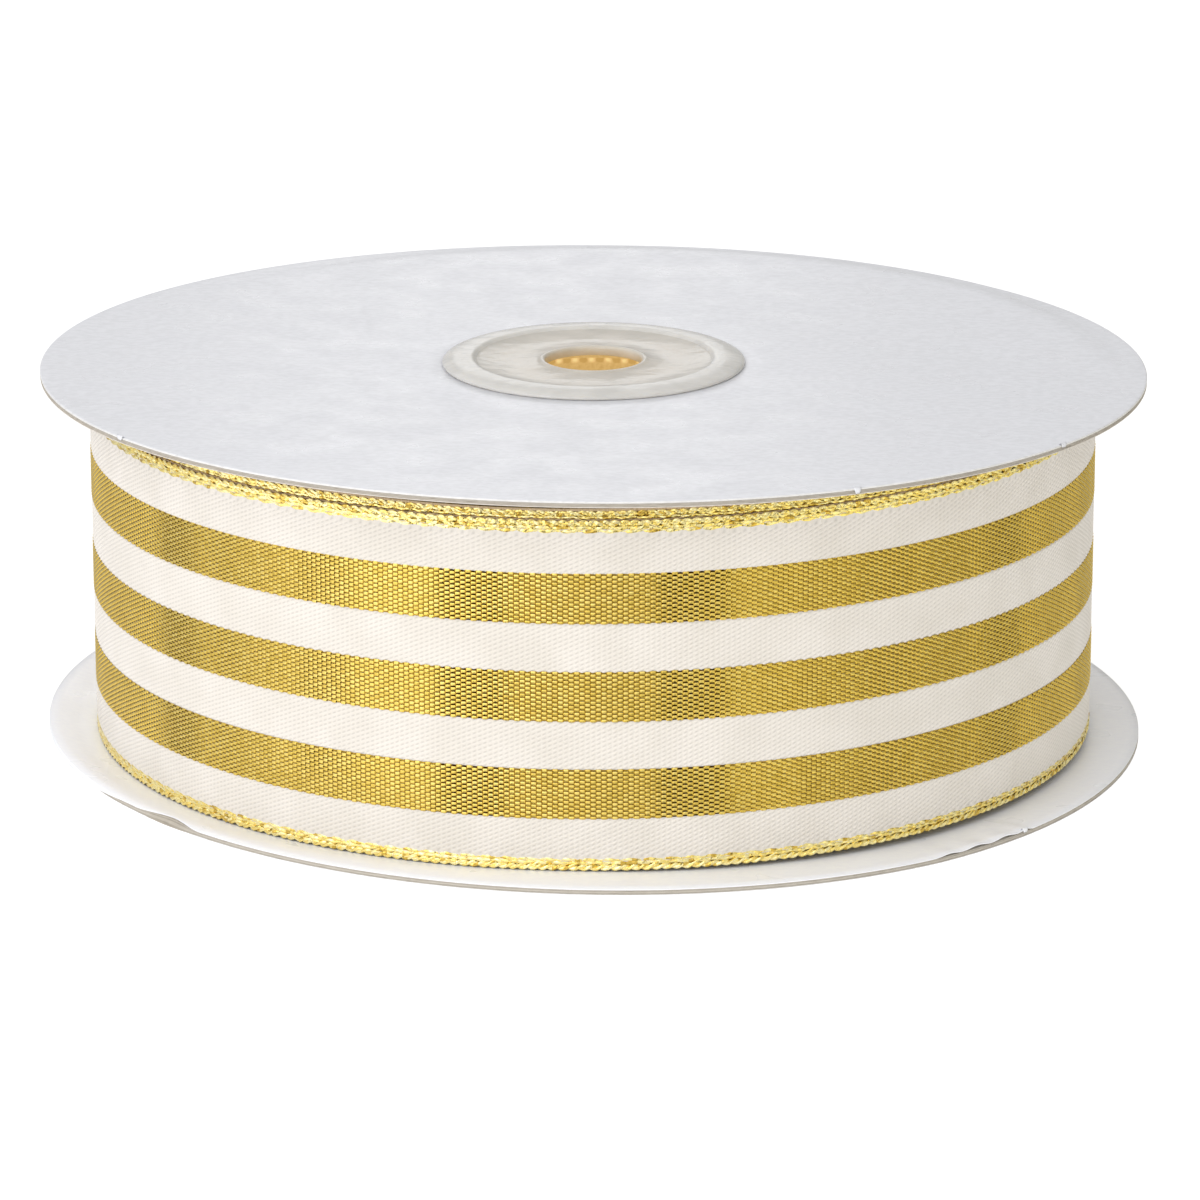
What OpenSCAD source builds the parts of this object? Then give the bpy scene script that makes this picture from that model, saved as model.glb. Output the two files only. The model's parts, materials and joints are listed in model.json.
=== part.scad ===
// Ribbon spool: a striped gift ribbon wound on a plastic core between two laminated card discs.
// It stands on its lower hub cap. +Z runs up the spindle axis, and z = 0 is the lowest face.

/* [Ribbon] */
// Width of the ribbon over both selvedges
ribbon_w = 38; // [34:0.5:38]
// Thickness of one turn
ribbon_t = 0.4; // [0.3:0.05:0.6]
// Width of each braided gold selvedge
selvedge_w = 1.4; // [1:0.1:2]
// Width of each woven gold stripe
stripe_w = 5.4; // [3:0.1:6]
// Width of the ivory ground between two stripes
stripe_gap = 5.2; // [4:0.1:6]
// Thickness of the gold film yarns that float on the face of a stripe
yarn_t = 0.1; // [0.05:0.01:0.15]
// Diameter over the outermost full turn
roll_d = 112; // [90:1:116]
// Height of the outermost turn above the lower disc
outer_turn_lift = 0.3; // [0.2:0.05:0.6]
// Height left over the inner turns, which have crept up against the upper disc
inner_turn_drop = 0.5; // [0.4:0.05:0.9]

/* [Card discs] */
// Diameter of both discs
disc_d = 122.5; // [120:0.5:150]
// Clear height between the discs
disc_gap = 39.9; // [39.6:0.1:45]
// Thickness of the grey board
board_t = 0.5; // [0.4:0.05:1.5]
// Thickness of each white paper liner
liner_t = 0.1; // [0.08:0.01:0.2]

/* [Hub] */
// Diameter of a cap's flange
cap_d = 33.6; // [32:0.1:40]
// Diameter of a cap's neck, which the disc turns on
neck_d = 26; // [24:0.1:26.4]
// Diameter of the spindle bore
bore_d = 10.8; // [6:0.2:12]
// Height of a cap's ring above the disc
cap_rise = 0.8; // [0.6:0.05:1.5]
// Thickness of a cap's flange at its edge
cap_edge = 0.25; // [0.2:0.05:0.4]
// Thickness of a cap's web
web_t = 1.1; // [0.8:0.05:1.5]
// Wall of the neck and of the barrel
wall = 1.2; // [0.8:0.1:1.5]
// Depth of a neck's plug inside the barrel
plug_l = 1.8; // [1.5:0.1:8]

/* [Free end] */
// Length of ribbon that lifts from the roll
free_l = 40; // [20:1:60]
// Direction of the line where it lifts, counted from +X
lift_angle = 110; // [60:5:150]
// Height of the clear tape that holds the end
tape_w = 12; // [8:1:20]
// Length of the tape on each side of the ribbon's cut end
tape_reach = 9; // [6:1:12]
// Thickness of the tape
tape_t = 0.1; // [0.06:0.02:0.2]

/* [Hidden] */
$fn = 360;

// Clearances
cut = 1;               // how far a cutting solid runs past what it cuts
neck_play = 0.08;      // between a neck and the hole in its disc, on the radius
end_play = 0.05;       // between a disc and the flange or barrel beside it
soft_play = 0.3;       // between the free end and what lies under it
cut_play = 0.3;        // between the ribbon's cut end and the turn that goes on beside it
hinge_play = 0.1;      // between the lifting end and the turn it lifts from

// Forms of a cap
ring_flat = 0.8;       // flat top of the ring, which the spool stands on
ring_slope = 0.4;      // width of the ring's inner slope
ring_drop = 0.15;      // how far that slope falls
lip_w = 0.6;           // width of the raised lip round the bore
lip_h = 0.5;           // its height over the disc
lip_chamfer = 0.1;
dish_h = 0.15;         // height of the dish's floor over the disc
arc_steps = 8;         // steps of a rounded section

// Radii
roll_r = roll_d / 2;
wound_r = roll_r - ribbon_t;
neck_r = neck_d / 2;
barrel_r = neck_r + wall;
cap_r = cap_d / 2;
bore_r = bore_d / 2;
ring_r = neck_r + ring_slope + ring_flat;  // where the ring's flat top ends
lip_r = bore_r + lip_w;
dish_r = (lip_r + neck_r) / 2;             // the lowest line of the dish
free_r_in = wound_r + soft_play;
free_r_out = free_r_in + ribbon_t - yarn_t;

// Heights
card_t = board_t + 2 * liner_t;
lower_face_z = cap_rise + card_t;          // inner face of the lower disc
upper_face_z = lower_face_z + disc_gap;    // inner face of the upper disc
total_h = upper_face_z + card_t + cap_rise;
outer_turn_z = lower_face_z + outer_turn_lift;
wound_z = upper_face_z - inner_turn_drop - ribbon_w;

// Heights of the stripes' lower edges above the ribbon's own lower edge
middle_stripe = (ribbon_w - stripe_w) / 2;
lower_stripe = middle_stripe - stripe_gap - stripe_w;
upper_stripe = middle_stripe + stripe_gap + stripe_w;
upper_selvedge = ribbon_w - selvedge_w;

// Angles round the roll, in degrees
function degrees_of(arc_l) = arc_l / roll_r * 180 / PI;
free_sweep = degrees_of(free_l);
free_start = lift_angle - free_sweep;
turn_start = lift_angle;
turn_sweep = 360 - free_sweep - degrees_of(cut_play);
tape_sweep = degrees_of(tape_reach);

// Colours
PAPER = "#f4f4f5";
BOARD = "#c9bfb4";
CLEAR_PLASTIC = "#e6e5df";
IVORY = "#f3ecdf";
GOLD = "#cfae4f";
GOLD_THREAD = "#f0d271";
TAPE = "#eef3f3";

// A flat ring with a true bore
module ring(r_in, r_out, z_low, height) {
    translate([0, 0, z_low])
        difference() {
            cylinder(r = r_out, h = height);
            translate([0, 0, -cut]) cylinder(r = r_in, h = height + 2 * cut);
        }
}

// Part of a ring, from one angle round to another
module arc_band(r_in, r_out, z_low, height, start, sweep) {
    rotate([0, 0, start])
        rotate_extrude(angle = sweep)
            translate([r_in, z_low]) square([r_out - r_in, height]);
}

// The woven ground between the selvedges, with a shallow groove for each stripe's yarns
module ground(r_in, r_out, z_low, start = 0, sweep = 360) {
    rotate([0, 0, start])
        rotate_extrude(angle = sweep)
            difference() {
                translate([r_in, z_low + selvedge_w])
                    square([r_out - r_in, ribbon_w - 2 * selvedge_w]);
                for (stripe = [lower_stripe, middle_stripe, upper_stripe])
                    translate([r_out - yarn_t, z_low + stripe])
                        square([yarn_t + cut, stripe_w]);
            }
}

// Section of a cap: x is the radius, and y the height over the disc's outer face.
// From the neck it goes out under the flange, over the rounded ring, down the dish and through the bore.
module cap_section() {
    ring_foot = cap_rise - ring_drop;
    polygon(concat(
        [[neck_r, end_play], [cap_r, end_play]],
        [for (i = [0:arc_steps])
            [ring_r + (cap_r - ring_r) * cos(90 * i / arc_steps),
             cap_edge + (cap_rise - cap_edge) * sin(90 * i / arc_steps)]],
        [[neck_r + ring_slope, cap_rise], [neck_r, ring_foot]],
        [for (i = [1:arc_steps - 1]) let (across = 2 * i / arc_steps - 1)
            [dish_r + (lip_r - dish_r) * across,
             dish_h + ((across < 0 ? ring_foot : lip_h) - dish_h) * across * across]],
        [[lip_r, lip_h], [bore_r + lip_chamfer, lip_h], [bore_r, lip_h - lip_chamfer]],
        [[bore_r, lip_h - web_t], [dish_r, dish_h - web_t], [neck_r - wall, dish_h - web_t]],
        [[neck_r - wall, -card_t - plug_l], [neck_r, -card_t - plug_l]]));
}

module hub_cap() {
    rotate_extrude() cap_section();
}

// Card discs
module upper_board() {
    color(BOARD) ring(neck_r + neck_play, disc_d / 2, upper_face_z + liner_t, board_t);
}
module upper_outer_liner() {
    color(PAPER) ring(neck_r + neck_play, disc_d / 2, upper_face_z + liner_t + board_t, liner_t);
}
module upper_inner_liner() {
    color(PAPER) ring(neck_r + neck_play, disc_d / 2, upper_face_z, liner_t);
}
module lower_board() {
    color(BOARD) ring(neck_r + neck_play, disc_d / 2, cap_rise + liner_t, board_t);
}
module lower_outer_liner() {
    color(PAPER) ring(neck_r + neck_play, disc_d / 2, cap_rise, liner_t);
}
module lower_inner_liner() {
    color(PAPER) ring(neck_r + neck_play, disc_d / 2, cap_rise + liner_t + board_t, liner_t);
}

// Hub
module upper_hub_cap() {
    color(CLEAR_PLASTIC) translate([0, 0, total_h - cap_rise]) hub_cap();
}
module lower_hub_cap() {
    color(CLEAR_PLASTIC) translate([0, 0, cap_rise]) mirror([0, 0, 1]) hub_cap();
}
module core_barrel() {
    color(CLEAR_PLASTIC)
        ring(neck_r, barrel_r, lower_face_z + end_play, disc_gap - 2 * end_play);
}

// Turns under the outermost one
module wound_ribbon() {
    color(IVORY) ground(barrel_r, wound_r, wound_z);
}
module wound_upper_stripe() {
    color(GOLD) ring(wound_r - yarn_t, wound_r, wound_z + upper_stripe, stripe_w);
}
module wound_middle_stripe() {
    color(GOLD) ring(wound_r - yarn_t, wound_r, wound_z + middle_stripe, stripe_w);
}
module wound_lower_stripe() {
    color(GOLD) ring(wound_r - yarn_t, wound_r, wound_z + lower_stripe, stripe_w);
}
module wound_upper_selvedge() {
    color(GOLD_THREAD) ring(barrel_r, wound_r, wound_z + upper_selvedge, selvedge_w);
}
module wound_lower_selvedge() {
    color(GOLD_THREAD) ring(barrel_r, wound_r, wound_z, selvedge_w);
}

// Outermost turn
module outer_turn_band(r_in, height_on_ribbon, width) {
    arc_band(r_in, roll_r, outer_turn_z + height_on_ribbon, width, turn_start, turn_sweep);
}
module outer_turn_ground() {
    color(IVORY) ground(wound_r, roll_r, outer_turn_z, turn_start, turn_sweep);
}
module outer_turn_upper_stripe() {
    color(GOLD) outer_turn_band(roll_r - yarn_t, upper_stripe, stripe_w);
}
module outer_turn_middle_stripe() {
    color(GOLD) outer_turn_band(roll_r - yarn_t, middle_stripe, stripe_w);
}
module outer_turn_lower_stripe() {
    color(GOLD) outer_turn_band(roll_r - yarn_t, lower_stripe, stripe_w);
}
module outer_turn_upper_selvedge() {
    color(GOLD_THREAD) outer_turn_band(wound_r, upper_selvedge, selvedge_w);
}
module outer_turn_lower_selvedge() {
    color(GOLD_THREAD) outer_turn_band(wound_r, 0, selvedge_w);
}

// Free end, which lifts about the roll's surface at lift_angle
module free_end_band(r_in, height_on_ribbon, width) {
    arc_band(r_in, free_r_out, outer_turn_z + height_on_ribbon, width,
             free_start, free_sweep - degrees_of(hinge_play));
}
module free_end_ground() {
    color(IVORY) ground(free_r_in, free_r_out, outer_turn_z,
                        free_start, free_sweep - degrees_of(hinge_play));
}
module free_end_upper_stripe() {
    color(GOLD) free_end_band(free_r_out - yarn_t, upper_stripe, stripe_w);
}
module free_end_middle_stripe() {
    color(GOLD) free_end_band(free_r_out - yarn_t, middle_stripe, stripe_w);
}
module free_end_lower_stripe() {
    color(GOLD) free_end_band(free_r_out - yarn_t, lower_stripe, stripe_w);
}
module free_end_upper_selvedge() {
    color(GOLD_THREAD) free_end_band(free_r_in, upper_selvedge, selvedge_w);
}
module free_end_lower_selvedge() {
    color(GOLD_THREAD) free_end_band(free_r_in, 0, selvedge_w);
}

// The tape stands on its glue over the free end, and reaches over the turn beside it
module end_tape() {
    glue_t = tape_t;
    tape_z = outer_turn_z + (ribbon_w - tape_w) / 2;
    color(TAPE) {
        arc_band(free_r_out, free_r_out + glue_t, tape_z, tape_w, free_start, tape_sweep);
        arc_band(free_r_out + glue_t, free_r_out + glue_t + tape_t, tape_z, tape_w,
                 free_start - tape_sweep, 2 * tape_sweep);
    }
}

upper_board();
upper_outer_liner();
upper_inner_liner();
lower_board();
lower_outer_liner();
lower_inner_liner();
upper_hub_cap();
lower_hub_cap();
core_barrel();
wound_ribbon();
wound_upper_stripe();
wound_middle_stripe();
wound_lower_stripe();
wound_upper_selvedge();
wound_lower_selvedge();
outer_turn_ground();
outer_turn_upper_stripe();
outer_turn_middle_stripe();
outer_turn_lower_stripe();
outer_turn_upper_selvedge();
outer_turn_lower_selvedge();
free_end_ground();
free_end_upper_stripe();
free_end_middle_stripe();
free_end_lower_stripe();
free_end_upper_selvedge();
free_end_lower_selvedge();
end_tape();
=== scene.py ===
import json
import math

import bpy
import numpy as np
from mathutils import Matrix, Vector


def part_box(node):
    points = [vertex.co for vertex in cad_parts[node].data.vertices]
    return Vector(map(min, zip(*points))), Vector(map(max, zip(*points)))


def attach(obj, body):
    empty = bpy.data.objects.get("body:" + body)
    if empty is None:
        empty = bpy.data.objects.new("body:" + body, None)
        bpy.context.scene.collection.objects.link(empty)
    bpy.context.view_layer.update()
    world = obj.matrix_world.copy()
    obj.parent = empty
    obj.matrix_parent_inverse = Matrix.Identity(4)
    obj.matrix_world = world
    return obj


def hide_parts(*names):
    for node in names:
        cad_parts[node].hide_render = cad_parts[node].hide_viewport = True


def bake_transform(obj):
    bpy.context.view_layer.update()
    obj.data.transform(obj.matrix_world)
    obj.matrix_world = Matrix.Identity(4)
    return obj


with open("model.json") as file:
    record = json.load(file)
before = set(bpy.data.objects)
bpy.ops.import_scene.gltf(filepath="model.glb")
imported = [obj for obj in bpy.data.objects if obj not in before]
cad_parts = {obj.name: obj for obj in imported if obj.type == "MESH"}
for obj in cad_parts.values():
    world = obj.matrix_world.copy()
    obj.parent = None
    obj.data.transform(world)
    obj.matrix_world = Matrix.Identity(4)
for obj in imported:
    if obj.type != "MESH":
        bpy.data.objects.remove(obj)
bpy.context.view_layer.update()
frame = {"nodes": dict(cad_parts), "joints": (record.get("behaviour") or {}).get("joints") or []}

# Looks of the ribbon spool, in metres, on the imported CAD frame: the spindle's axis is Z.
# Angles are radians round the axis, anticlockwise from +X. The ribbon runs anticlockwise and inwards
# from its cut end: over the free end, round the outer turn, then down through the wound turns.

MM = 0.001

# Sizes that the CAD frame gives
ROLL_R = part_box("outer_turn_ground")[1].x
WOUND_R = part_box("wound_ribbon")[1].x
BARREL_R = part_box("core_barrel")[1].x
DISC_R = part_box("upper_board")[1].x
CAP_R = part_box("upper_hub_cap")[1].x
OUTER_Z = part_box("outer_turn_lower_selvedge")[0].z
WOUND_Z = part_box("wound_lower_selvedge")[0].z
RIBBON_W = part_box("outer_turn_upper_selvedge")[1].z - OUTER_Z
SELVEDGE_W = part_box("outer_turn_lower_selvedge")[1].z - OUTER_Z
STRIPES = {place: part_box(f"outer_turn_{place}_stripe")[0].z - OUTER_Z
           for place in ("lower", "middle", "upper")}
STRIPE_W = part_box("outer_turn_lower_stripe")[1].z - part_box("outer_turn_lower_stripe")[0].z

# Sizes of the ribbon that CAD leaves out
RIBBON_L = 22.86             # 25 yards, the usual roll
FREE_L = 40 * MM
FREE_R = ROLL_R + 0.2 * MM   # outside of the cut end, which stands a little off the roll
GROUND_T = 0.3 * MM
COLUMN_W = 0.57 * MM         # one weft yarn
FILMS = 22                   # gold film yarns in a stripe
FILM_PITCH = STRIPE_W / FILMS

# Angles of the ribbon's run
HINGE = Vector(next(j["pos_m"] for j in frame["joints"] if j["name"] == "free_end_lift"))
LIFT_A = math.atan2(HINGE.y, HINGE.x)
FREE_COLUMNS = 2 * round(FREE_L / COLUMN_W / 2)
TURN_COLUMNS = 2 * round(2 * math.pi * ROLL_R / COLUMN_W / 2)
COLUMN_A = 2 * math.pi / TURN_COLUMNS
CUT_A = LIFT_A - FREE_COLUMNS * COLUMN_A
TURN_END_A = LIFT_A + 2 * math.pi
WOUND_L = RIBBON_L - FREE_L - 2 * math.pi * ROLL_R
TURN_PITCH = math.pi * (WOUND_R ** 2 - BARREL_R ** 2) / WOUND_L
WOUND_TURNS = (WOUND_R - BARREL_R) / TURN_PITCH


# ---------------------------------------------------------------- meshes

def add_mesh(name, parts, materials, body=None, smooth=True):
    """One object from parts, each (points, [face arrays], [material numbers]) with one number per face."""
    points, corners, sizes, numbers, first = [], [], [], [], 0
    for part_points, faces, face_materials in parts:
        points.append(part_points.reshape(-1, 3))
        for face_array, material in zip(faces, face_materials):
            corners.append((face_array + first).ravel())
            sizes.append(np.full(len(face_array), face_array.shape[1]))
            numbers.append(np.broadcast_to(material, len(face_array)))
        first += len(points[-1])
    points, corners = np.concatenate(points), np.concatenate(corners)
    sizes, numbers = np.concatenate(sizes), np.concatenate(numbers)
    mesh = bpy.data.meshes.new(name)
    mesh.vertices.add(len(points))
    mesh.vertices.foreach_set("co", points.astype(np.float32).ravel())
    mesh.loops.add(len(corners))
    mesh.loops.foreach_set("vertex_index", corners.astype(np.int32))
    mesh.polygons.add(len(sizes))
    starts = np.concatenate([[0], np.cumsum(sizes)[:-1]])
    mesh.polygons.foreach_set("loop_start", starts.astype(np.int32))
    mesh.polygons.foreach_set("use_smooth", np.full(len(sizes), smooth))
    for material in materials:
        mesh.materials.append(material)
    mesh.polygons.foreach_set("material_index", numbers.astype(np.int32))
    mesh.update(calc_edges=True)
    obj = bpy.data.objects.new(name, mesh)
    bpy.context.scene.collection.objects.link(obj)
    if body:
        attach(obj, body)
    return obj


def stand_for(piece):
    """A piece named NODE_detail replaces that CAD node."""
    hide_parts(piece.name.removesuffix("_detail"))
    return piece


def grid_faces(rows, columns, ring=False):
    """Quads between points numbered row by row. Columns close into a loop; rows do too if it is a ring."""
    row = np.arange(rows if ring else rows - 1)[:, None] * columns
    next_row = (row + columns) % (rows * columns)
    column = np.arange(columns)[None, :]
    next_column = (column + 1) % columns
    return np.stack([row + column, next_row + column, next_row + next_column, row + next_column],
                    axis=-1).reshape(-1, 4)


def swept(angles, radii, heights, ring=False):
    """A closed section, anticlockwise in radius and height, carried round the axis through angles."""
    radii, heights = np.broadcast_arrays(radii, heights)
    points = np.stack([radii * np.cos(angles)[:, None], radii * np.sin(angles)[:, None], heights], axis=-1)
    rows, columns = radii.shape
    faces = [grid_faces(rows, columns, ring)]
    if not ring:
        first = np.arange(columns)
        faces.append(first[None, ::-1].copy())
        faces.append((first + (rows - 1) * columns)[None, :].copy())
    return points, faces


def smoothstep(x):
    x = np.clip(x, 0, 1)
    return x * x * (3 - 2 * x)


# ---------------------------------------------------------------- materials

class Shader:
    """A Principled material, built node by node."""

    def __init__(self, name, **values):
        self.material = bpy.data.materials.new(name)
        self.material.use_nodes = True
        self.tree = self.material.node_tree
        self.surface = self.tree.nodes["Principled BSDF"]
        for socket, value in values.items():
            self.surface.inputs[socket.replace("_", " ")].default_value = value

    def node(self, kind, inputs, **settings):
        made = self.tree.nodes.new(kind)
        for setting, value in settings.items():
            setattr(made, setting, value)
        for socket, value in inputs.items():
            if isinstance(value, bpy.types.NodeSocket):
                self.tree.links.new(value, made.inputs[socket])
            else:
                made.inputs[socket].default_value = value
        return made

    def place(self, stretch=(1, 1, 1)):
        """Object coordinates in millimetres, squeezed along each axis by stretch."""
        where = self.node("ShaderNodeTexCoord", {}).outputs["Object"]
        scale = [1000 / s for s in stretch]
        return self.node("ShaderNodeMapping", {"Vector": where, "Scale": scale}).outputs["Vector"]

    def noise(self, place, grain, detail=2.0, roughness=0.5):
        """Noise whose grain is that many millimetres across."""
        return self.node("ShaderNodeTexNoise", {"Vector": place, "Scale": 1 / grain, "Detail": detail,
                                                "Roughness": roughness}).outputs["Fac"]

    def between(self, factor, low, high):
        """low where the noise is low, high where it is high."""
        return self.node("ShaderNodeMapRange", {"Value": factor, "From Min": 0.35, "From Max": 0.65,
                                                "To Min": low, "To Max": high}).outputs["Result"]

    def tint(self, factor, dark, light, low=0.35, high=0.65):
        ramp = self.node("ShaderNodeValToRGB", {"Fac": factor})
        ramp.color_ramp.elements[0].position, ramp.color_ramp.elements[1].position = low, high
        ramp.color_ramp.elements[0].color, ramp.color_ramp.elements[1].color = (*dark, 1), (*light, 1)
        return ramp.outputs["Color"]

    def bump(self, height, depth, normal=None):
        """Normals of a relief that is depth millimetres deep."""
        inputs = {"Height": height, "Distance": depth * MM, "Strength": 1.0}
        if normal:
            inputs["Normal"] = normal
        return self.node("ShaderNodeBump", inputs).outputs["Normal"]

    def link(self, **outputs):
        for socket, output in outputs.items():
            self.tree.links.new(output, self.surface.inputs[socket.replace("_", " ")])
        return self.material


def paper(name, dark, light):
    """Calendered white paper: fine felted grain, a faint cloudiness and a soft sheen."""
    shader = Shader(name, IOR=1.5)
    felt = shader.noise(shader.place((1.6, 1, 1)), 0.6, detail=2, roughness=0.6)
    cloud = shader.noise(shader.place(), 6, detail=2, roughness=0.5)
    return shader.link(Base_Color=shader.tint(felt, dark, light, 0.38, 0.62),
                       Roughness=shader.between(cloud, 0.27, 0.40),
                       Normal=shader.bump(cloud, 0.03, shader.bump(felt, 0.02)))


def greyboard(name, dark, light):
    """The cut edge of greyboard: flat fibres and specks, drawn out along the plies."""
    shader = Shader(name, IOR=1.4)
    fibres = shader.noise(shader.place((6, 6, 0.35)), 0.22, detail=4, roughness=0.7)
    return shader.link(Base_Color=shader.tint(fibres, dark, light, 0.3, 0.7),
                       Roughness=shader.between(fibres, 0.8, 0.95),
                       Normal=shader.bump(fibres, 0.03))


def milky_plastic(name, dark, light):
    """Moulded polypropylene: milky, with flow streaks and a soft gloss."""
    shader = Shader(name, IOR=1.49, Subsurface_Weight=0.4, Subsurface_Scale=2 * MM,
                    Specular_IOR_Level=0.4)
    shader.surface.inputs["Subsurface Radius"].default_value = (1.0, 0.9, 0.75)
    flow = shader.noise(shader.place((1.6, 1, 1)), 2.6, detail=3, roughness=0.55)
    return shader.link(Base_Color=shader.tint(flow, dark, light),
                       Roughness=shader.between(flow, 0.12, 0.24),
                       Normal=shader.bump(flow, 0.16))


def see_through_glow_plastic(name, glint_pitch, glint_z):
    """The barrel's milky wall, painted amber and glowing though it is no lamp: painted light for the gold
    of the innermost turn showing through it, with a lighter painted glint where each loop of that turn's
    selvedge touches it."""
    # Painted glow: the wall gives off its own amber light, though it is no lamp
    shader = Shader(name, IOR=1.49, Roughness=0.3, Emission_Strength=0.7)
    where = shader.place()
    x, y, z = (shader.node("ShaderNodeSeparateXYZ", {0: where}).outputs[axis] for axis in "XYZ")
    angle = shader.node("ShaderNodeMath", {0: y, 1: x}, operation="ARCTAN2").outputs[0]
    loops = shader.node("ShaderNodeMath", {0: angle, 1: BARREL_R / glint_pitch * 2 * math.pi},
                        operation="MULTIPLY").outputs[0]
    wave = shader.node("ShaderNodeMath", {0: loops}, operation="COSINE").outputs[0]
    off = shader.node("ShaderNodeMath", {0: z, 1: glint_z / MM}, operation="SUBTRACT").outputs[0]
    away = shader.node("ShaderNodeMath", {0: off}, operation="ABSOLUTE").outputs[0]
    level = shader.node("ShaderNodeMapRange", {"Value": away, "From Max": 0.45, "To Min": 0.6,
                                               "To Max": 0.0},
                        interpolation_type="SMOOTHSTEP").outputs["Result"]
    painted_glints = shader.node("ShaderNodeMath", {0: wave, 1: level}, operation="MULTIPLY").outputs[0]
    grain = shader.noise(where, 0.5, detail=3)
    grain_and_glints = shader.node("ShaderNodeMath", {0: grain, 1: 0.45, 2: painted_glints},
                         operation="MULTIPLY_ADD").outputs[0]
    # Painted amber and painted glints of the gold seen through the wall, used both as colour and as glow
    colour = shader.tint(grain_and_glints, (0.43, 0.30, 0.11), (0.82, 0.69, 0.38), 0.05, 1.0)
    return shader.link(Base_Color=colour, Emission_Color=colour, Normal=shader.bump(grain, 0.02))


RELIEF = "relief"             # a point's level in the weave: 1 on top of a yarn, -1 where a yarn dips under


def ivory_yarn(name):
    """Matt ivory polyester: fine filaments along the yarns, painted shade where they dip, and a soft sheen.
    """
    shader = Shader(name, IOR=1.45, Sheen_Weight=0.25, Sheen_Roughness=0.5, Specular_IOR_Level=0.35)
    fibre = shader.noise(shader.place((1, 1, 4)), 0.09, detail=3, roughness=0.6)
    dye = shader.tint(shader.noise(shader.place(), 7, detail=2),
                      (0.742, 0.694, 0.632), (0.792, 0.744, 0.688))
    # Painted shade: the colour darkens where the weave dips, as shade falls in its hollows
    relief = shader.node("ShaderNodeAttribute", {}, attribute_name=RELIEF).outputs["Fac"]
    shade = shader.node("ShaderNodeMapRange", {"Value": relief, "From Min": -0.9, "From Max": 0.1,
                                               "To Min": 0.78, "To Max": 1.0}).outputs["Result"]
    shaded = shader.node("ShaderNodeVectorMath", {0: dye, "Scale": shade},
                         operation="SCALE").outputs["Vector"]
    return shader.link(Base_Color=shaded,
                       Roughness=shader.between(fibre, 0.55, 0.7),
                       Normal=shader.bump(fibre, 0.02))


def gold_film(name, dark, light, rough, rougher):
    """Metallised film yarn: crinkled lengthwise, with slight differences of tint."""
    shader = Shader(name, Metallic=1.0)
    crinkle = shader.noise(shader.place((1.5, 1.5, 0.5)), 0.3, detail=2, roughness=0.5)
    return shader.link(Base_Color=shader.tint(crinkle, dark, light),
                       Roughness=shader.between(crinkle, rough, rougher),
                       Normal=shader.bump(crinkle, 0.008))


def dull_brown_yarn(name):
    """A dull grey-brown yarn, laid in thin lines beside a selvedge."""
    shader = Shader(name, IOR=1.45, Specular_IOR_Level=0.2)
    fibre = shader.noise(shader.place((1, 1, 3)), 0.12, detail=3)
    return shader.link(Base_Color=shader.tint(fibre, (0.42, 0.30, 0.17), (0.60, 0.46, 0.30)),
                       Roughness=shader.between(fibre, 0.6, 0.8),
                       Normal=shader.bump(fibre, 0.03))


def clear_film(name):
    """Clear adhesive tape: a trace of haze and fine drawn streaks."""
    shader = Shader(name, IOR=1.46, Base_Color=(0.93, 0.95, 0.94, 1), Alpha=0.3)
    streaks = shader.noise(shader.place((8, 8, 0.4)), 0.5, detail=3)
    return shader.link(Roughness=shader.between(streaks, 0.12, 0.25),
                       Normal=shader.bump(streaks, 0.01))


PAPER_UP = paper("upper_paper", (0.745, 0.75, 0.79), (0.81, 0.815, 0.86))
# Whiter and bluer than the upper disc's paper: painted light on the lower disc, which the lamps leave
# dimmer
PAPER_LOW_LIT = paper("lower_paper_lit", (0.92, 0.93, 0.985), (0.95, 0.96, 1.0))
# Greyer than the face paper: painted shade on the upright spans of the rolled rim
PAPER_RIM_SHADED = paper("rim_paper_shaded", (0.72, 0.71, 0.70), (0.80, 0.79, 0.78))
# The inner liner's cut edge: the beige of cut fibres, darkened further with painted shade under the rim
PAPER_CUT_SHADED = paper("cut_paper_shaded", (0.60, 0.54, 0.48), (0.70, 0.65, 0.59))
PLY_LIGHT = greyboard("ply_light", (0.47, 0.43, 0.375), (0.58, 0.54, 0.48))
PLY_DARK = greyboard("ply_dark", (0.33, 0.295, 0.25), (0.46, 0.42, 0.365))
# One moulding: the dish plastic is darker and warmer than the ring's, painted shade in the dish
CAP_RING = milky_plastic("cap_ring_plastic", (0.61, 0.59, 0.56), (0.69, 0.665, 0.63))
CAP_DISH_SHADED = milky_plastic("cap_dish_plastic_shaded", (0.53, 0.50, 0.45), (0.61, 0.575, 0.52))
# Plastic with a painted glow and painted see-through gold, for the barrel and the caps' necks
BARREL_PAINTED_GLOW = see_through_glow_plastic("barrel_painted_glow", glint_pitch=2.05 * MM, glint_z=39.1 * MM)
IVORY = ivory_yarn("ivory_yarn")
FILM = [gold_film("film_pale", (0.82, 0.615, 0.15), (0.90, 0.70, 0.20), 0.26, 0.34),
        gold_film("film_mid", (0.76, 0.55, 0.12), (0.86, 0.645, 0.16), 0.24, 0.32),
        gold_film("film_dark", (0.69, 0.495, 0.095), (0.79, 0.58, 0.13), 0.26, 0.34)]
# Darker than FILM: painted shade on the film where it dips under a weft
FILM_BELOW_SHADED = gold_film("film_below_shaded", (0.58, 0.39, 0.06), (0.68, 0.47, 0.09), 0.06, 0.10)
FILM_TINTS = len(FILM)
SHADED_BELOW = FILM_TINTS           # a stripe's materials are FILM, then the darker film below, painted shade
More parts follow.
